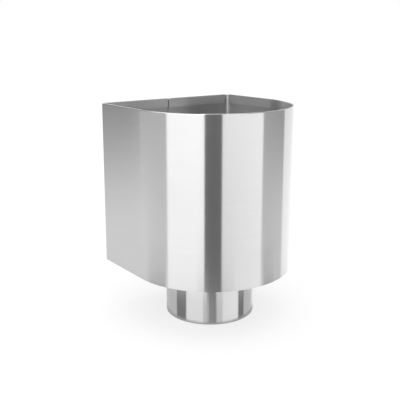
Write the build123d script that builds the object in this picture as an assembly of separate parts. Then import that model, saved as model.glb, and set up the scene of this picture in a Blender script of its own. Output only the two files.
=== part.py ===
from build123d import *
import math
import os

# Rainwater hopper of stainless sheet: a D-shaped open box for a wall, with a round outlet below.
# The origin is on the outlet's axis at its lower end, so the hopper stands on z = 0.
# +X runs along the wall, and the wall is on the +Y side. All sizes are in millimetres.

# Body, measured over the outside of the sheet
body_width = 200.0
body_depth = 190.0
body_height = 200.0
shell_sheet = 0.8
corner_bend = 4.0  # inside radius of the two back corners

# Hem: the top edge of the shell, folded inward and pressed nearly flat
hem_height = 12.0
hem_gap = 0.3  # air left in the fold
hem_lean = 4.0  # degrees that the folded flap springs back from the wall
hem_relief = 0.5  # from the end of a hem to a corner bend or to the lapped sheet
flap_corner = 9.0  # radius of the flap's lower corners beside the back corners

# Lap seam in the back wall, where the sheet's right-hand end lies inside its left-hand end
seam_x = -1.5  # edge of the inner end
lap_width = 15.0
lap_gap = 0.2
lap_snip = 3.0  # corner cut off the top of the inner end
spot_weld_diameter = 5.0
spot_weld_pitch = 26.0
spot_weld_margin = 14.0  # from the body's lower edge and from the hem to the first weld

# Two holes for wall screws
fixing_hole_diameter = 7.0
fixing_spacing = 120.0
fixing_drop = 50.0  # from the rim down to the holes

# Floor pressed into the shell's lower edge
base_sheet = 0.8
base_flange = 8.0
base_bend = 1.5  # inside radius of the upturned edge
base_clearance = 0.1  # between the upturned edge and the shell
base_weld_height = 1.2  # bead along the top of the upturned edge
base_weld_slope = 25.0  # degrees that its face leans from upright

# Outlet
outlet_diameter = 110.0
outlet_length = 60.0  # below the floor
outlet_setback = 90.0  # from the back face to the outlet's axis
outlet_sheet = 0.8
collar_width = 8.0  # edge turned outward over the floor
collar_bend = 1.0  # radius under the turned edge
outlet_weld_width = 1.2  # bead along the collar's edge
weld_clearance = 0.05  # between a bead and the curved sheet beside it

cut_margin = 1.0  # how far a hole's cutting shape stands out past the sheet

# Places that follow from the sizes
half_width = body_width / 2
back_y = outlet_setback
front_centre_y = back_y - body_depth + half_width
floor_z = outlet_length
rim_z = floor_z + body_height
corner_outside = corner_bend + shell_sheet
hem_thickness = 2 * shell_sheet + hem_gap
fold_z = rim_z - hem_thickness / 2
flap_z = rim_z - hem_height
flap_reach = hem_thickness + hem_height * math.sin(math.radians(hem_lean))
lap_offset = shell_sheet + lap_gap
inner_back_y = back_y - lap_offset
left_bend_y = back_y - corner_outside
right_bend_y = inner_back_y - corner_outside
pan_inset = shell_sheet + base_clearance
pan_corner = corner_bend - base_clearance
flange_z = floor_z + base_flange
outlet_radius = outlet_diameter / 2
collar_z = floor_z + base_sheet
collar_edge = outlet_radius + collar_width

LEFTWARD = Vector(-1, 0, 0)
RIGHTWARD = Vector(1, 0, 0)
FRONTWARD = Vector(0, -1, 0)
UP = Vector(0, 0, 1)


def wall_section():
    """The plain wall, drawn with x into the body and y up, from the lower edge to the hem's fold."""
    rectangle = Rectangle(shell_sheet, fold_z - floor_z, align=(Align.MIN, Align.MIN))
    return Pos(0, floor_z) * rectangle


def hem_section():
    """The fold and the flap that hangs from it inside the wall, drawn as the wall is."""
    centre = Vector(hem_thickness / 2, fold_z)
    inward = Vector(1, 0).rotate(Axis.Z, hem_lean)
    down = Vector(0, -1).rotate(Axis.Z, hem_lean)
    face_start = centre + inward * (hem_thickness / 2)
    back_start = centre + inward * (hem_gap / 2)
    flap = down * ((flap_z - back_start.Y) / down.Y)
    outline = [
        ThreePointArc((0, fold_z), (centre.X, rim_z), face_start),
        Line(face_start, face_start + flap),
        Line(face_start + flap, back_start + flap),
        Line(back_start + flap, back_start),
        ThreePointArc(back_start, (centre.X, fold_z + hem_gap / 2), (shell_sheet, fold_z)),
        Line((shell_sheet, fold_z), (0, fold_z)),
    ]
    return make_face(outline)


def station(x, y, inward):
    """A plane across the sheet: x points into the body, y up, and its normal runs on along the sheet."""
    return Plane(origin=(x, y, 0), x_dir=inward, z_dir=inward.cross(UP))


def straight_wall(place, length):
    return extrude(place * wall_section(), length)


def bent_wall(place, centre_x, centre_y):
    """A quarter turn of the plain wall round one back corner."""
    return revolve(place * wall_section(), Axis((centre_x, centre_y, 0), (0, 0, 1)), 90)


def straight_hem(place, length, round_start=False, round_end=False):
    """A hem along a straight wall, with the flap's lower corner cut round at an end beside a back corner."""
    hem = extrude(hem_section(), length)
    for rounded, end, toward in ((round_start, 0, 1), (round_end, length, -1)):
        if rounded:
            low = Vector(flap_z, end)
            along = low + Vector(0, toward * flap_corner)
            above = low + Vector(flap_corner, 0)
            outline = [
                Line(low, along),
                TangentArc(along, above, tangent=(0, -toward)),
                Line(above, low),
            ]
            hem -= extrude(Plane.YZ * make_face(outline), flap_reach)
    return place.location * hem


def sheet_front():
    """The rolled front, wall and hem in one half turn from the left side to the right."""
    place = station(-half_width, front_centre_y, RIGHTWARD)
    axis = Axis((0, front_centre_y, 0), (0, 0, 1))
    return revolve(place * wall_section(), axis, 180) + revolve(place * hem_section(), axis, 180)


def sheet_left():
    """The outer end of the lap, the left half of the back wall, the left corner and the left side."""
    lap_end_x = seam_x + lap_width
    bend_x = -half_width + corner_outside
    hem_start_x = seam_x - hem_relief
    hem_end_x = bend_x + hem_relief
    side_start_y = left_bend_y - hem_relief
    back = straight_wall(station(lap_end_x, back_y, FRONTWARD), lap_end_x - bend_x)
    back_hem = straight_hem(station(hem_start_x, back_y, FRONTWARD), hem_start_x - hem_end_x, round_end=True)
    corner = bent_wall(station(bend_x, back_y, FRONTWARD), bend_x, left_bend_y)
    side = straight_wall(station(-half_width, left_bend_y, RIGHTWARD), left_bend_y - front_centre_y)
    side_hem = straight_hem(
        station(-half_width, side_start_y, RIGHTWARD), side_start_y - front_centre_y, round_start=True
    )
    return back + back_hem + corner + side + side_hem


def sheet_right():
    """The right side, the right corner and the inner half of the back wall, with its snipped end."""
    bend_x = half_width - corner_outside
    hem_start_x = bend_x - hem_relief
    side_end_y = right_bend_y - hem_relief
    side = straight_wall(station(half_width, front_centre_y, LEFTWARD), right_bend_y - front_centre_y)
    side_hem = straight_hem(
        station(half_width, front_centre_y, LEFTWARD), side_end_y - front_centre_y, round_end=True
    )
    corner = bent_wall(station(half_width, right_bend_y, LEFTWARD), bend_x, right_bend_y)
    back = straight_wall(station(bend_x, inner_back_y, FRONTWARD), bend_x - seam_x)
    back_hem = straight_hem(
        station(hem_start_x, inner_back_y, FRONTWARD), hem_start_x - seam_x, round_start=True
    )
    snip = make_face(
        Polyline((seam_x, rim_z), (seam_x + lap_snip, rim_z), (seam_x, rim_z - lap_snip), close=True)
    )
    snipped_off = extrude(Plane.XZ.offset(-inner_back_y) * snip, flap_reach)
    return side + side_hem + corner + (back + back_hem - snipped_off)


def spot_welds():
    """Welds that join the two sheets of the lap, evenly spaced up the seam."""
    lowest = floor_z + spot_weld_margin
    highest = flap_z - spot_weld_margin
    count = int((highest - lowest) // spot_weld_pitch) + 1
    spacing = (highest - lowest) / (count - 1)
    centre_x = seam_x + lap_width / 2
    centre_y = back_y - shell_sheet - lap_gap / 2
    weld = Cylinder(spot_weld_diameter / 2, shell_sheet + lap_gap)
    return [Pos(centre_x, centre_y, lowest + spacing * i) * Rot(90, 0, 0) * weld for i in range(count)]


def fixing_holes():
    hole = Rot(90, 0, 0) * Cylinder(fixing_hole_diameter / 2, 2 * (lap_offset + shell_sheet + cut_margin))
    return [Pos(side * fixing_spacing / 2, back_y, rim_z - fixing_drop) * hole for side in (-1, 1)]


def body_shell():
    shell = sheet_left() + sheet_front() + sheet_right()
    for weld in spot_welds():
        shell += weld
    for hole in fixing_holes():
        shell -= hole
    return shell


def d_face(side_inset, back_inset, corner_radius):
    """The body's D in plan, drawn inside the outer faces of the shell by the two insets."""
    half = half_width - side_inset
    back = back_y - back_inset
    outline = [
        Line((-half, front_centre_y), (-half, back)),
        Line((-half, back), (half, back)),
        Line((half, back), (half, front_centre_y)),
        ThreePointArc((half, front_centre_y), (0, front_centre_y - half), (-half, front_centre_y)),
    ]
    face = make_face(outline)
    return fillet(face.vertices().group_by(Axis.Y)[-1], corner_radius)


def pan_face(inset):
    """The floor's outline, which clears the inner sheet of the lap, drawn in by a further inset."""
    side_inset = pan_inset + inset
    return d_face(side_inset, lap_offset + side_inset, pan_corner - inset)


def tray(inset, bottom_z, bottom_radius):
    """A D-shaped block up to the top of the floor's edge, with a rounded lower edge."""
    block = extrude(Pos(0, 0, bottom_z) * pan_face(inset), flange_z - bottom_z)
    return fillet(block.edges().group_by(Axis.Z)[0], bottom_radius)


def base_pan():
    outside = tray(0, floor_z, base_bend + base_sheet)
    inside = tray(base_sheet, collar_z, base_bend)
    outlet_hole = Pos(0, 0, floor_z) * Cylinder(outlet_radius + collar_bend, 2 * (base_sheet + cut_margin))
    return outside - inside - outlet_hole


def base_weld():
    """The bead between the floor's upturned edge and the shell, sloped towards the shell.

    It is wider along the left half of the back wall, where the shell is the lap's outer sheet.
    """
    inset = shell_sheet + weld_clearance
    corner = corner_bend - weld_clearance
    left_half = Pos(seam_x - weld_clearance, 0) * Rectangle(
        body_width, 2 * body_depth, align=(Align.MAX, Align.CENTER)
    )
    outer = d_face(inset, lap_offset + inset, corner) + (d_face(inset, inset, corner) & left_half)
    bead = extrude(Pos(0, 0, flange_z) * outer, base_weld_height)
    room = extrude(Pos(0, 0, flange_z) * pan_face(base_sheet), base_weld_height, taper=-base_weld_slope)
    return bead - room


def outlet_weld():
    """The bead between the collar's edge and the floor, turned from its section."""
    inner = collar_edge + weld_clearance
    toe = inner + outlet_weld_width
    outline = Polyline((inner, collar_z), (toe, collar_z), (inner, collar_z + outlet_sheet), close=True)
    return revolve(Plane.XZ * make_face(outline), Axis.Z, 360)


def outlet_spigot():
    """The tube, turned about its axis from one section of the bent sheet."""
    bore_radius = outlet_radius - outlet_sheet
    bend_end = outlet_radius + collar_bend
    bend_z = collar_z - collar_bend
    collar_top = collar_z + outlet_sheet
    outline = [
        Line((bore_radius, 0), (outlet_radius, 0)),
        Line((outlet_radius, 0), (outlet_radius, bend_z)),
        RadiusArc((outlet_radius, bend_z), (bend_end, collar_z), collar_bend),
        Line((bend_end, collar_z), (collar_edge, collar_z)),
        Line((collar_edge, collar_z), (collar_edge, collar_top)),
        Line((collar_edge, collar_top), (bend_end, collar_top)),
        RadiusArc((bend_end, collar_top), (bore_radius, bend_z), -(collar_bend + outlet_sheet)),
        Line((bore_radius, bend_z), (bore_radius, 0)),
    ]
    return revolve(Plane.XZ * make_face(outline), Axis.Z, 360)


pieces = {
    "body_shell": body_shell(),
    "base_pan": base_pan(),
    "base_weld": base_weld(),
    "outlet_spigot": outlet_spigot(),
    "outlet_weld": outlet_weld(),
}

os.makedirs("parts", exist_ok=True)
for name, solid in pieces.items():
    export_step(solid, f"parts/{name}.step")
    print(name, round(solid.volume), "mm3")
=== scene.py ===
import math

import bpy
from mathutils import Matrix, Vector


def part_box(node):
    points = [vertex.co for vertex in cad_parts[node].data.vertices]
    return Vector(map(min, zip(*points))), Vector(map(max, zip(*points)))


# A rainwater hopper of bright stainless sheet, in a small studio for photographing metal.
# All places are in metres in the row's frame: +X along the wall, +Y to the wall, +Z up.
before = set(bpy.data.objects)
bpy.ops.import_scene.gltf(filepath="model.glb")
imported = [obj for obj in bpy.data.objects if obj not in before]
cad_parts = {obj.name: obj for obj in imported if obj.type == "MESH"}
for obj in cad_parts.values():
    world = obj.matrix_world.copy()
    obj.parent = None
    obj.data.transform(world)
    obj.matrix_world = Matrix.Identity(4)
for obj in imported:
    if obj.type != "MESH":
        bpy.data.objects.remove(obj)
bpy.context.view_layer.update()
shell_low, shell_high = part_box("body_shell")
spigot_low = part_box("outlet_spigot")[0]

# Camera, as the photograph was taken: from the front left, a little above the rim
image_side = 400
camera_place = Vector((-0.4803, -0.6182, 0.344))
camera_turn = math.radians(36.94)  # from straight at the wall, towards the right
camera_dip = math.radians(11.5)
focal_pixels = 650
axis_row = 165  # the row of the picture that the camera points at
sensor_width = 36.0

# Shell and its lap seam. Depths are measured inwards from the back face.
sheet = 0.0008
back_face = shell_high.y
side_face = shell_high.x
lap_depth = 4 * sheet  # past both sheets of the lap
outer_sheet_depth = 1.1 * sheet
lap_outer_end = 0.0135
lap_inner_end = -0.0015
line_width = 0.0007
seam_weld_x = 0.006
seam_weld_lowest = 0.074
seam_weld_pitch = 0.02667
seam_weld_count = 7
seam_weld_radius = 0.0026

# Floor and outlet
floor_bead_height = 0.0692
floor_bead_size = 0.003
side_bead_depth = 0.005  # the bead along a side lies within this depth of the side face
collar_bead_radius = 0.0643
outlet_radius = 0.055
tube_line_core = 0.0006  # half the width of the tube's own weld line, without and with its soft edge
tube_line_edge = 0.0012

# Tones and roughnesses of the bare metal
outer_tone = 0.64
inner_tone = 0.62
ripple_valley_tone = 0.42
ripple_crest_tone = 0.56
shell_roughness = 0.145
shell_inner_roughness = 0.3
pan_roughness = 0.26
outlet_roughness = 0.11
outlet_inner_roughness = 0.25
bead_least_roughness = 0.3
bead_most_roughness = 0.45

# Grain and waves of the sheets
level_lines = (43.0, 43.0, 2600.0)  # grain lines per metre along x, y and z
straight_lines = (43.0, 2600.0, 2600.0)
grain_depth = 0.0000012
shell_waves = 0.00005
pan_waves = 0.00006
outlet_waves = 0.00003
shell_anisotropy = 0.85
pan_anisotropy = 0.5
outlet_anisotropy = 0.6
across_tangent = 0.25  # a quarter turn, so that highlights are drawn out across the grain
grain_roughening = (-0.015, 0.02)  # at the grain's low and high values, as are the shades
grain_shades = (0.975, 1.015)
streak_shades = (0.995, 1.004)
streak_scale = 0.13  # how many streaks there are to one grain line

# Marks of making and handling: how wide they are, and how much they change roughness, tone or height
rim_rub = 0.006
foot_rub = 0.004
corner_rub = 0.006
corner_bare = 0.002
socket_rub = 0.02
smear_distortion = 0.6
smears_where_rubbed = 0.3
smear_roughening = 0.02
smear_darkening = 0.01
edge_roughening = 0.25
line_roughening = 0.2
weld_ring_roughening = 0.12
weld_ring_darkening = 0.07
tube_line_darkening = 0.08
lap_shade_and_grime = 0.55  # what is left of the tone in the dark line beside a free end: painted shadow of the gap under the step, with a little grime
dent_depth = 0.00008
shoulder_drop = 0.0001
tube_line_rise = 0.00004
ripple_pitch = 0.0013
ripple_height = 0.0002
ripple_shifts = 300.0  # per metre, of the noise that shifts the ripples
tint_reach = 0.006
pan_tint_reach = 0.008
tint_beside_bead = (0.80, 0.78, 0.78, 1.0)
tint_straw = (0.97, 0.90, 0.78, 1.0)
tint_none = (1.0, 1.0, 1.0, 1.0)
tint_straw_share = 0.35  # where the tint is straw, from 0 at the bead to 1 at its reach
tint_clouds = 180.0  # per metre
tint_cloud_size = 0.5  # how much of its reach the tint's edge wanders by

# Studio
white = (1.0, 1.0, 1.0, 1.0)
floor_side = 6.0
floor_level = spigot_low.z
floor_tone = 0.45
floor_lift = 0.62  # glow that only the camera sees, so that the floor is white outside the shadow
floor_lift_in_metal = 0.25  # the glow where the metal shows the floor
contact_width = 0.01  # how far from the spigot the metal still shows the floor
surround_radius = 1.5
surround_bottom = -1.7
surround_middle = -0.545
surround_top = 0.5
surround_crown = 2.4
fade_low = -0.32  # upper panels fade from their lower to their upper brightness between these heights
fade_high = 0.2
fade_steps = 8
panel_step = math.radians(4)
mirror_bounces = 12  # for light that goes round inside the hopper

# Panels round the hopper that its outside shows: name, start and end in degrees, then the brightness at
# the start and at the end, low down and high up. Seen from above, 0 is to the front and 90 to the right.
upper_panels = (
    ("grey_wall_rear", -232, -145, (0.94, 0.94), (0.36, 0.36)),
    ("grey_wall_left", -145, -96, (0.98, 0.87), (0.6, 0.6)),
    ("soft_light_left", -96, -45, (1.39, 1.39), (1.52, 1.52)),
    ("camera_gap", -45, -22.3, (0.19, 0.19), (0.21, 0.21)),
    ("soft_light_front", -22.3, 35.3, (1.07, 1.27), (1.22, 1.36)),
    ("grey_wall_right", 35.3, 79, (0.8, 0.84), (0.5, 0.38)),
    ("soft_light_right", 79, 128, (1.25, 1.25), (1.05, 1.05)),
)

# The inside of the hopper and its rim show the ring above that one: name, start, end, brightness at both
high_panels = (
    ("high_light_rear_left", -215, -170, (1.4, 1.4)),
    ("high_shadow_left", -170, -130, (0.1, 0.1)),
    ("high_light_left", -130, -70, (1.6, 2.2)),
    ("high_bright_light_left", -70, -45, (3.3, 3.3)),
    ("high_camera_gap", -45, -20, (0.35, 0.35)),
    ("high_light_front", -20, 10, (1.2, 1.2)),
    ("high_grey_right", 10, 70, (0.4, 0.4)),
    ("high_light_right", 70, 145, (0.8, 1.2)),
)

# The outlet shows the ring below, which stands in for what a table reflects of the studio
lower_panels = (
    ("low_grey_rear", -228, -133, (0.68, 0.68)),
    ("low_shadow_left", -133, -101, (0.23, 0.23)),
    ("low_light_left", -101, -55, (1.08, 1.05)),
    ("low_half_light_left", -55, -39.5, (0.75, 0.65)),
    ("low_camera_gap", -39.5, -20, (0.42, 0.35)),
    ("low_half_light_front", -20, -4, (0.72, 0.8)),
    ("low_light_front", -4, 42, (1.08, 1.16)),
    ("low_shadow_right", 42, 62, (0.22, 0.22)),
    ("low_grey_right", 62, 104, (0.69, 0.69)),
    ("low_light_right", 104, 132, (0.95, 0.95)),
)


# Small helpers for node trees

def add_node(tree, kind, inputs=None, **settings):
    """A node with its settings, and its inputs set to values or linked to other nodes' sockets."""
    made = tree.nodes.new(kind)
    for name, value in settings.items():
        setattr(made, name, value)
    for name, value in (inputs or {}).items():
        if isinstance(value, bpy.types.NodeSocket):
            tree.links.new(value, made.inputs[name])
        else:
            made.inputs[name].default_value = value
    return made


def math_node(tree, operation, first, second=None, third=None):
    inputs = {0: first}
    if second is not None:
        inputs[1] = second
    if third is not None:
        inputs[2] = third
    return add_node(tree, "ShaderNodeMath", inputs, operation=operation).outputs[0]


def vector_node(tree, operation, first, second=None):
    """Both outputs, Vector and Value, of which an operation fills one."""
    inputs = {0: first}
    if second is not None:
        inputs[1] = second
    return add_node(tree, "ShaderNodeVectorMath", inputs, operation=operation).outputs


def vector_of(tree, x=0.0, y=0.0, z=0.0):
    return add_node(tree, "ShaderNodeCombineXYZ", {"X": x, "Y": y, "Z": z}).outputs[0]


def smooth_range(tree, value, from_low, from_high, to_low, to_high):
    """The value mapped from one range to another, smoothly and with no overshoot."""
    inputs = {
        "Value": value,
        "From Min": from_low,
        "From Max": from_high,
        "To Min": to_low,
        "To Max": to_high,
    }
    made = add_node(tree, "ShaderNodeMapRange", inputs, interpolation_type="SMOOTHSTEP")
    return made.outputs["Result"]


def noise(tree, place, scale, detail, distortion=0.0):
    """Soft random values, most of them between 0.25 and 0.75."""
    inputs = {"Vector": place, "Scale": scale, "Detail": detail, "Distortion": distortion}
    return add_node(tree, "ShaderNodeTexNoise", inputs).outputs["Fac"]


def either(tree, mask, first, second):
    """The first value where the mask is 0, and the second where it is 1."""
    return add_node(tree, "ShaderNodeMix", {0: mask, 2: first, 3: second}).outputs[0]


def opposite(tree, mask):
    return math_node(tree, "SUBTRACT", 1.0, mask)


def distance_to(tree, value, target):
    return math_node(tree, "ABSOLUTE", math_node(tree, "SUBTRACT", value, target))


def highest(tree, first, *others):
    for other in others:
        first = math_node(tree, "MAXIMUM", first, other)
    return first


def product(tree, first, *others):
    for other in others:
        first = math_node(tree, "MULTIPLY", first, other)
    return first


def object_place(tree):
    """The place on the hopper, whole and as its three parts."""
    place = add_node(tree, "ShaderNodeTexCoord").outputs["Object"]
    return place, add_node(tree, "ShaderNodeSeparateXYZ", {"Vector": place}).outputs


def distance_from_axis(tree, parts):
    return vector_node(tree, "LENGTH", vector_of(tree, x=parts["X"], y=parts["Y"]))["Value"]


def new_material(name):
    material = bpy.data.materials.new(name)
    material.use_nodes = True
    material.node_tree.nodes.clear()
    return material, material.node_tree


def finish_material(tree, shader):
    add_node(tree, "ShaderNodeOutputMaterial", {"Surface": shader})


def new_group(name, inputs, outputs):
    """An empty node group with float inputs, each given with its default, and the outputs' kinds."""
    tree = bpy.data.node_groups.new(name, "ShaderNodeTree")
    for socket, default in inputs:
        made = tree.interface.new_socket(name=socket, in_out="INPUT", socket_type="NodeSocketFloat")
        made.default_value = default
    for socket, kind in outputs:
        tree.interface.new_socket(name=socket, in_out="OUTPUT", socket_type=kind)
    return tree, tree.nodes.new("NodeGroupInput").outputs, tree.nodes.new("NodeGroupOutput").inputs


def place_group(tree, group, inputs=None):
    return add_node(tree, "ShaderNodeGroup", inputs, node_tree=group).outputs


# Effects that several finishes share

def sheet_grain_group():
    """Fine lines that rolling and brushing leave. They run the way in which the fewest are counted."""
    tree, given, put = new_group(
        "sheet_grain",
        [("Lines along x", 43.0), ("Lines along y", 43.0), ("Lines along z", 2600.0)],
        [("Grain", "NodeSocketFloat"), ("Streaks", "NodeSocketFloat")],
    )
    counts = vector_of(tree, given["Lines along x"], given["Lines along y"], given["Lines along z"])
    spread = vector_node(tree, "MULTIPLY", object_place(tree)[0], counts)["Vector"]
    tree.links.new(noise(tree, spread, 1.0, 3.0), put["Grain"])
    tree.links.new(noise(tree, spread, streak_scale, 2.0), put["Streaks"])
    return tree


def sheet_waves_group():
    """The slow rise and fall of thin sheet that has been bent and welded, as a height in metres."""
    tree, given, put = new_group(
        "sheet_waves",
        [("Waves per metre", 9.0), ("Wave height", 0.00006)],
        [("Height", "NodeSocketFloat")],
    )
    waves = noise(tree, object_place(tree)[0], given["Waves per metre"], 1.0)
    tree.links.new(math_node(tree, "MULTIPLY", waves, given["Wave height"]), put["Height"])
    return tree


def handling_marks_group():
    """Soft smears that handling leaves, with more of them where the sheet is rubbed."""
    tree, given, put = new_group(
        "handling_marks",
        [("Smears per metre", 16.0), ("Rubbed", 0.0)],
        [("Smear", "NodeSocketFloat")],
    )
    smears = noise(tree, object_place(tree)[0], given["Smears per metre"], 4.0, smear_distortion)
    spread = math_node(tree, "MULTIPLY_ADD", given["Rubbed"], smears_where_rubbed, smears)
    tree.links.new(smooth_range(tree, spread, 0.45, 0.75, 0.0, 1.0), put["Smear"])
    return tree


def cut_edge_group():
    """1 on sheared edges that face down, such as the lower ends of the walls and of the folded flap."""
    tree, given, put = new_group("cut_edge", [("Least tilt", 0.75)], [("Edge", "NodeSocketFloat")])
    geometry = add_node(tree, "ShaderNodeNewGeometry").outputs
    normal = add_node(tree, "ShaderNodeSeparateXYZ", {"Vector": geometry["True Normal"]}).outputs
    downward = math_node(tree, "MULTIPLY", normal["Z"], -1.0)
    tree.links.new(math_node(tree, "GREATER_THAN", downward, given["Least tilt"]), put["Edge"])
    return tree


def heat_tint_group():
    """The straw tint that is left beside a weld, as a colour to multiply with."""
    tree, given, put = new_group(
        "heat_tint",
        [("Distance", 0.0), ("Reach", tint_reach)],
        [("Tint", "NodeSocketColor")],
    )
    cloud = noise(tree, object_place(tree)[0], tint_clouds, 2.0)
    share = math_node(tree, "DIVIDE", given["Distance"], given["Reach"])
    share = math_node(tree, "SUBTRACT", share, tint_cloud_size / 2)
    share = math_node(tree, "MULTIPLY_ADD", cloud, tint_cloud_size, share)
    ramp = add_node(tree, "ShaderNodeValToRGB", {"Fac": share})
    ramp.color_ramp.elements[0].color = tint_beside_bead
    ramp.color_ramp.elements[1].color = tint_none
    ramp.color_ramp.elements.new(tint_straw_share).color = tint_straw
    tree.links.new(ramp.outputs["Color"], put["Tint"])
    return tree


sheet_grain = sheet_grain_group()
sheet_waves = sheet_waves_group()
handling_marks = handling_marks_group()
cut_edge = cut_edge_group()
heat_tint = heat_tint_group()


# Parts of the finishes

def inner_side(tree):
    """1 on faces that look towards the hopper's axis, 0 on those that look away from it."""
    geometry = add_node(tree, "ShaderNodeNewGeometry").outputs
    level_place = vector_node(tree, "MULTIPLY", object_place(tree)[0], (1, 1, 0))["Vector"]
    outward = vector_node(tree, "NORMALIZE", level_place)["Vector"]
    facing = vector_node(tree, "DOT_PRODUCT", outward, geometry["True Normal"])["Value"]
    return smooth_range(tree, facing, -0.1, 0.1, 1.0, 0.0)


def nearer_back_than(tree, parts, depth):
    return math_node(tree, "GREATER_THAN", parts["Y"], back_face - depth)


def shell_rubbing(tree, parts):
    """1 where handling rubs the shell: at its rim, its lower edge and its back corners."""
    at_rim = smooth_range(tree, parts["Z"], shell_high.z - rim_rub, shell_high.z, 0.0, 1.0)
    at_foot = smooth_range(tree, parts["Z"], shell_low.z, shell_low.z + foot_rub, 1.0, 0.0)
    sideways = math_node(tree, "ABSOLUTE", parts["X"])
    at_side = smooth_range(tree, sideways, side_face - corner_rub, side_face - corner_bare, 0.0, 1.0)
    at_back = smooth_range(tree, parts["Y"], back_face - corner_rub, back_face - corner_bare, 0.0, 1.0)
    return highest(tree, at_rim, at_foot, product(tree, at_side, at_back))


def spot_weld_marks(tree, parts):
    """On both faces of the lap: the dents of the spot welds, and the dull ring round each."""
    steps = math_node(tree, "SUBTRACT", parts["Z"], seam_weld_lowest)
    steps = math_node(tree, "DIVIDE", steps, seam_weld_pitch)
    last_step = seam_weld_count - 1.0
    kept_steps = add_node(tree, "ShaderNodeClamp", {"Value": steps, "Min": 0.0, "Max": last_step})
    nearest = math_node(tree, "ROUND", kept_steps.outputs[0])
    weld_z = math_node(tree, "MULTIPLY_ADD", nearest, seam_weld_pitch, seam_weld_lowest)
    across = math_node(tree, "SUBTRACT", parts["X"], seam_weld_x)
    along = math_node(tree, "SUBTRACT", parts["Z"], weld_z)
    radius = vector_node(tree, "LENGTH", vector_of(tree, x=across, z=along))["Value"]
    dent = smooth_range(tree, radius, 0.2 * seam_weld_radius, 1.2 * seam_weld_radius, 1.0, 0.0)
    ring = smooth_range(tree, radius, seam_weld_radius, 2.1 * seam_weld_radius, 1.0, 0.0)
    on_back = nearer_back_than(tree, parts, lap_depth)
    return product(tree, dent, on_back), product(tree, ring, on_back)


def lap_lines(tree, parts):
    """Along the lap's two free ends: the sheet's sheared shoulder, and beside it a dark line of painted
    shadow from the gap under the step, with a little grime.
    """
    on_back = nearer_back_than(tree, parts, lap_depth)
    outer_sheet = nearer_back_than(tree, parts, outer_sheet_depth)
    inner_sheet = opposite(tree, outer_sheet)
    shoulders = []
    shadows = []
    for end, way, ending_sheet, other_sheet in (
        (lap_outer_end, 1.0, outer_sheet, inner_sheet),
        (lap_inner_end, -1.0, inner_sheet, outer_sheet),
    ):
        past_end = math_node(tree, "MULTIPLY", math_node(tree, "SUBTRACT", parts["X"], end), way)
        near = smooth_range(tree, math_node(tree, "ABSOLUTE", past_end), 0.0, line_width, 1.0, 0.0)
        beyond = math_node(tree, "GREATER_THAN", past_end, 0.1 * line_width)
        shoulders.append(product(tree, near, opposite(tree, beyond), ending_sheet, on_back))
        # The shadow mask marks painted shade on the sheet beyond each end, with a little grime
        shadows.append(product(tree, near, beyond, other_sheet, on_back))
    return highest(tree, *shoulders), highest(tree, *shadows)


def tube_line(tree, parts):
    """1 on the spigot's own weld line, which runs down its back."""
    sideways = math_node(tree, "ABSOLUTE", parts["X"])
    near = smooth_range(tree, sideways, tube_line_core, tube_line_edge, 1.0, 0.0)
    return product(tree, near, math_node(tree, "GREATER_THAN", parts["Y"], 0.0))


def bead_length(tree, parts):
    """How far along its bead a place lies, in metres, for the bead round the floor and for the collar's."""
    angle = math_node(tree, "ARCTAN2", parts["X"], parts["Y"])
    round_collar = math_node(tree, "MULTIPLY", angle, collar_bead_radius)
    round_front = math_node(tree, "MULTIPLY", angle, side_face)
    sideways = math_node(tree, "ABSOLUTE", parts["X"])
    on_side = math_node(tree, "GREATER_THAN", sideways, side_face - side_bead_depth)
    straight = either(tree, on_side, parts["X"], parts["Y"])
    at_front = math_node(tree, "LESS_THAN", parts["Y"], 0.0)
    round_floor = either(tree, at_front, straight, round_front)
    on_floor_bead = math_node(tree, "GREATER_THAN", parts["Z"], floor_bead_height - floor_bead_size)
    return either(tree, on_floor_bead, round_collar, round_floor)


def steel_surface(tree, tone, roughness, lines, wave_height, rubbed=0.0):
    """Bare sheet: its tone, its roughness and its height in metres, all changing over the surface."""
    grain = place_group(tree, sheet_grain, {
        "Lines along x": lines[0],
        "Lines along y": lines[1],
        "Lines along z": lines[2],
    })
    smear = place_group(tree, handling_marks, {"Rubbed": rubbed})["Smear"]
    waves = place_group(tree, sheet_waves, {"Wave height": wave_height})["Height"]
    grain_rough = smooth_range(tree, grain["Grain"], 0.25, 0.75, *grain_roughening)
    rough = math_node(tree, "ADD", roughness, grain_rough)
    rough = math_node(tree, "MULTIPLY_ADD", smear, smear_roughening, rough)
    grain_shade = smooth_range(tree, grain["Grain"], 0.2, 0.8, *grain_shades)
    streak_shade = smooth_range(tree, grain["Streaks"], 0.3, 0.7, *streak_shades)
    shade = math_node(tree, "MULTIPLY", grain_shade, streak_shade)
    shade = math_node(tree, "MULTIPLY_ADD", smear, -smear_darkening, shade)
    height = math_node(tree, "MULTIPLY_ADD", grain["Grain"], grain_depth, waves)
    return math_node(tree, "MULTIPLY", shade, tone), rough, height


def tinted_grey(tree, tone, from_bead, reach=tint_reach):
    """A grey of the given tone, with the heat tint of a bead that is so far away."""
    grey = add_node(tree, "ShaderNodeCombineColor", {"Red": tone, "Green": tone, "Blue": tone})
    tint = place_group(tree, heat_tint, {"Distance": from_bead, "Reach": reach})["Tint"]
    inputs = {0: 1.0, 6: grey.outputs["Color"], 7: tint}
    mixed = add_node(tree, "ShaderNodeMix", inputs, data_type="RGBA", blend_type="MULTIPLY")
    return mixed.outputs[2]


def metal_shader(tree, colour, rough, height, **more_inputs):
    bump = add_node(tree, "ShaderNodeBump", {"Height": height, "Distance": 1.0, "Strength": 1.0})
    inputs = {
        "Base Color": colour,
        "Metallic": 1.0,
        "Roughness": rough,
        "Normal": bump.outputs["Normal"],
        **more_inputs,
    }
    return add_node(tree, "ShaderNodeBsdfPrincipled", inputs).outputs[0]


def grained_shader(tree, colour, rough, height, anisotropy, tangent):
    """Metal whose highlight is drawn out across the tangent, as its grain does."""
    return metal_shader(tree, colour, rough, height, **{
        "Anisotropic": anisotropy,
        "Anisotropic Rotation": across_tangent,
        "Tangent": tangent,
    })


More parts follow.
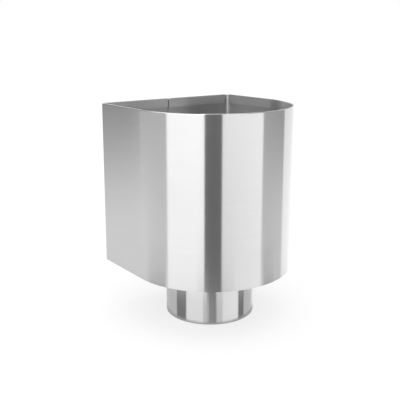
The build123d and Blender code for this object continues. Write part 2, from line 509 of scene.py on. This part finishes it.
def level_tangent(tree):
    return add_node(tree, "ShaderNodeTangent", direction_type="RADIAL", axis="Z").outputs["Tangent"]


# Finishes

def shell_finish():
    """Bright outside and duller inside, with the marks of the lap seam and a tint at the floor's bead."""
    material, tree = new_material("shell_sheet")
    parts = object_place(tree)[1]
    inside = inner_side(tree)
    side_tone = smooth_range(tree, inside, 0.0, 1.0, outer_tone, inner_tone)
    side_rough = smooth_range(tree, inside, 0.0, 1.0, shell_roughness, shell_inner_roughness)
    rubbed = shell_rubbing(tree, parts)
    tone, rough, height = steel_surface(tree, side_tone, side_rough, level_lines, shell_waves, rubbed)

    dent, ring = spot_weld_marks(tree, parts)
    tone = math_node(tree, "MULTIPLY_ADD", ring, -weld_ring_darkening, tone)
    rough = math_node(tree, "MULTIPLY_ADD", ring, weld_ring_roughening, rough)
    height = math_node(tree, "MULTIPLY_ADD", dent, -dent_depth, height)

    shoulder, shadow = lap_lines(tree, parts)
    # Painted shadow: the tone is darkened along the gap beside each free end of the lap, with a little
    # grime
    tone = math_node(tree, "MULTIPLY", tone, smooth_range(tree, shadow, 0.0, 1.0, 1.0, lap_shade_and_grime))
    rough = math_node(tree, "MULTIPLY_ADD", shadow, line_roughening, rough)
    height = math_node(tree, "MULTIPLY_ADD", shoulder, -shoulder_drop, height)
    edge = highest(tree, shoulder, place_group(tree, cut_edge)["Edge"])
    rough = math_node(tree, "MULTIPLY_ADD", edge, edge_roughening, rough)

    # The outside counts as a metre further away, so that it has no tint
    from_bead = distance_to(tree, parts["Z"], floor_bead_height)
    from_bead = math_node(tree, "ADD", from_bead, opposite(tree, inside))
    colour = tinted_grey(tree, tone, from_bead)
    shader = grained_shader(tree, colour, rough, height, shell_anisotropy, level_tangent(tree))
    finish_material(tree, shader)
    return material


def pan_finish():
    """The floor, with its grain along the wall and a tint round the collar's weld."""
    material, tree = new_material("base_sheet")
    parts = object_place(tree)[1]
    tone, rough, height = steel_surface(tree, inner_tone, pan_roughness, straight_lines, pan_waves)
    from_bead = distance_to(tree, distance_from_axis(tree, parts), collar_bead_radius)
    colour = tinted_grey(tree, tone, from_bead, pan_tint_reach)
    along_wall = vector_of(tree, x=1.0)
    finish_material(tree, grained_shader(tree, colour, rough, height, pan_anisotropy, along_wall))
    return material


def outlet_finish():
    """The rolled tube, with its brushed weld line, rubbed where the pipe's socket slides on."""
    material, tree = new_material("outlet_sheet")
    parts = object_place(tree)[1]
    inside = inner_side(tree)
    rubbed = smooth_range(tree, parts["Z"], spigot_low.z, spigot_low.z + socket_rub, 1.0, 0.0)
    side_rough = smooth_range(tree, inside, 0.0, 1.0, outlet_roughness, outlet_inner_roughness)
    tone, rough, height = steel_surface(tree, outer_tone, side_rough, level_lines, outlet_waves, rubbed)

    line = tube_line(tree, parts)
    tone = math_node(tree, "MULTIPLY_ADD", line, -tube_line_darkening, tone)
    rough = math_node(tree, "MULTIPLY_ADD", line, line_roughening, rough)
    height = math_node(tree, "MULTIPLY_ADD", line, tube_line_rise, height)
    edge = place_group(tree, cut_edge)["Edge"]
    rough = math_node(tree, "MULTIPLY_ADD", edge, edge_roughening, rough)

    from_bead = distance_to(tree, distance_from_axis(tree, parts), collar_bead_radius)
    colour = tinted_grey(tree, tone, from_bead)
    shader = grained_shader(tree, colour, rough, height, outlet_anisotropy, level_tangent(tree))
    finish_material(tree, shader)
    return material


def weld_finish():
    """A weld bead with its ripples, brushed clean but still dull and a little tinted."""
    material, tree = new_material("weld_bead")
    place, parts = object_place(tree)
    wander = noise(tree, place, ripple_shifts, 2.0)
    steps = math_node(tree, "DIVIDE", bead_length(tree, parts), ripple_pitch)
    steps = math_node(tree, "MULTIPLY_ADD", wander, 0.5, steps)
    ripple = math_node(tree, "PINGPONG", steps, 0.5)  # from 0 in a valley to 0.5 on a crest
    height = math_node(tree, "MULTIPLY", ripple, 2 * ripple_height)
    tone = smooth_range(tree, ripple, 0.0, 0.5, ripple_valley_tone, ripple_crest_tone)
    rough = smooth_range(tree, wander, 0.3, 0.7, bead_least_roughness, bead_most_roughness)
    colour = tinted_grey(tree, tone, math_node(tree, "MULTIPLY", wander, tint_reach))
    finish_material(tree, metal_shader(tree, colour, rough, height))
    return material


def set_finish(node_name, material):
    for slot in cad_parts[node_name].material_slots:
        slot.material = material


# Studio

def floor_finish():
    """A pale floor. The camera sees it white with the hopper's soft shadow on it, and the metal shows it
    only close to the spigot's foot."""
    material, tree = new_material("pale_floor")
    rays = add_node(tree, "ShaderNodeLightPath").outputs
    matt = add_node(tree, "ShaderNodeBsdfDiffuse", {"Color": (floor_tone, floor_tone, floor_tone, 1.0)})
    glow = math_node(tree, "MULTIPLY", rays["Is Camera Ray"], floor_lift)
    glow = math_node(tree, "MULTIPLY_ADD", rays["Is Glossy Ray"], floor_lift_in_metal, glow)
    lift = add_node(tree, "ShaderNodeEmission", {"Color": white, "Strength": glow})
    seen = add_node(tree, "ShaderNodeAddShader", {0: matt.outputs[0], 1: lift.outputs[0]})
    clear = add_node(tree, "ShaderNodeBsdfTransparent")
    distance = distance_from_axis(tree, object_place(tree)[1])
    far = smooth_range(tree, distance, outlet_radius, outlet_radius + contact_width, 0.0, 1.0)
    passed = math_node(tree, "MULTIPLY", rays["Is Glossy Ray"], far)
    mixed = add_node(tree, "ShaderNodeMixShader", {"Fac": passed, 1: seen.outputs[0], 2: clear.outputs[0]})
    finish_material(tree, mixed.outputs[0])
    return material


def make_floor():
    half = floor_side / 2
    mesh = bpy.data.meshes.new("floor")
    corners = [(-half, -half, 0), (half, -half, 0), (half, half, 0), (-half, half, 0)]
    mesh.from_pydata(corners, [], [(0, 1, 2, 3)])
    mesh.materials.append(floor_finish())
    floor = bpy.data.objects.new("floor", mesh)
    floor.location.z = floor_level
    bpy.context.scene.collection.objects.link(floor)


def panel_finish():
    """A glow as strong as the panel's own mesh says at each place."""
    material, tree = new_material("panel_glow")
    glow = add_node(tree, "ShaderNodeAttribute", attribute_name="brightness").outputs["Fac"]
    shader = add_node(tree, "ShaderNodeEmission", {"Color": white, "Strength": glow})
    finish_material(tree, shader.outputs[0])
    return material


def between(pair, share):
    return pair[0] + (pair[1] - pair[0]) * share


def fade_share(height):
    """How far a panel has gone over from its lower to its upper brightness at a height."""
    share = (height - fade_low) / (fade_high - fade_low)
    share = min(max(share, 0.0), 1.0)
    return share * share * (3 - 2 * share)


def make_panel(finish, name, start, end, low, high, heights):
    """An upright panel bent round the hopper, which only the metal sees. It fades along and upwards."""
    angles = (math.radians(start), math.radians(end))
    steps = max(1, math.ceil((angles[1] - angles[0]) / panel_step))
    corners = []
    glow = []
    for i in range(steps + 1):
        share = i / steps
        angle = between(angles, share)
        x = surround_radius * math.sin(angle)
        y = -surround_radius * math.cos(angle)
        low_and_high = (between(low, share), between(high, share))
        for height in heights:
            corners.append((x, y, height))
            glow.append(between(low_and_high, fade_share(height)))
    rows = len(heights)
    faces = []
    for i in range(steps):
        for j in range(rows - 1):
            first = i * rows + j
            faces.append((first, first + rows, first + rows + 1, first + 1))
    mesh = bpy.data.meshes.new(name)
    mesh.from_pydata(corners, [], faces)
    mesh.attributes.new("brightness", "FLOAT", "POINT").data.foreach_set("value", glow)
    mesh.materials.append(finish)
    panel = bpy.data.objects.new(name, mesh)
    panel.visible_camera = False
    panel.visible_diffuse = False
    panel.visible_shadow = False
    bpy.context.scene.collection.objects.link(panel)


def make_panels():
    finish = panel_finish()
    fade = [between((fade_low, fade_high), i / fade_steps) for i in range(fade_steps + 1)]
    for panel in upper_panels:
        make_panel(finish, *panel, [surround_middle, *fade, surround_top])
    for name, start, end, glow in lower_panels:
        make_panel(finish, name, start, end, glow, glow, [surround_bottom, surround_middle])
    for name, start, end, glow in high_panels:
        make_panel(finish, name, start, end, glow, glow, [surround_top, surround_crown])


def make_world():
    """White to the camera and in the metal, and an even sky light for the floor."""
    world = bpy.data.worlds.new("white_studio")
    world.use_nodes = True
    tree = world.node_tree
    tree.nodes.clear()
    sky = add_node(tree, "ShaderNodeBackground", {"Color": white, "Strength": 1.0})
    add_node(tree, "ShaderNodeOutputWorld", {"Surface": sky.outputs[0]})
    bpy.context.scene.world = world


def make_camera():
    camera = bpy.data.cameras.new("camera")
    camera.sensor_width = sensor_width
    camera.lens = focal_pixels / image_side * sensor_width
    camera.shift_y = (axis_row - image_side / 2) / image_side
    holder = bpy.data.objects.new("camera", camera)
    holder.location = camera_place
    holder.rotation_euler = (math.pi / 2 - camera_dip, 0.0, -camera_turn)
    bpy.context.scene.collection.objects.link(holder)
    bpy.context.scene.camera = holder


set_finish("body_shell", shell_finish())
set_finish("base_pan", pan_finish())
set_finish("outlet_spigot", outlet_finish())
bead = weld_finish()
set_finish("base_weld", bead)
set_finish("outlet_weld", bead)

make_floor()
make_panels()
make_world()
make_camera()
bpy.context.scene.view_settings.view_transform = "Standard"
bpy.context.scene.cycles.glossy_bounces = mirror_bounces
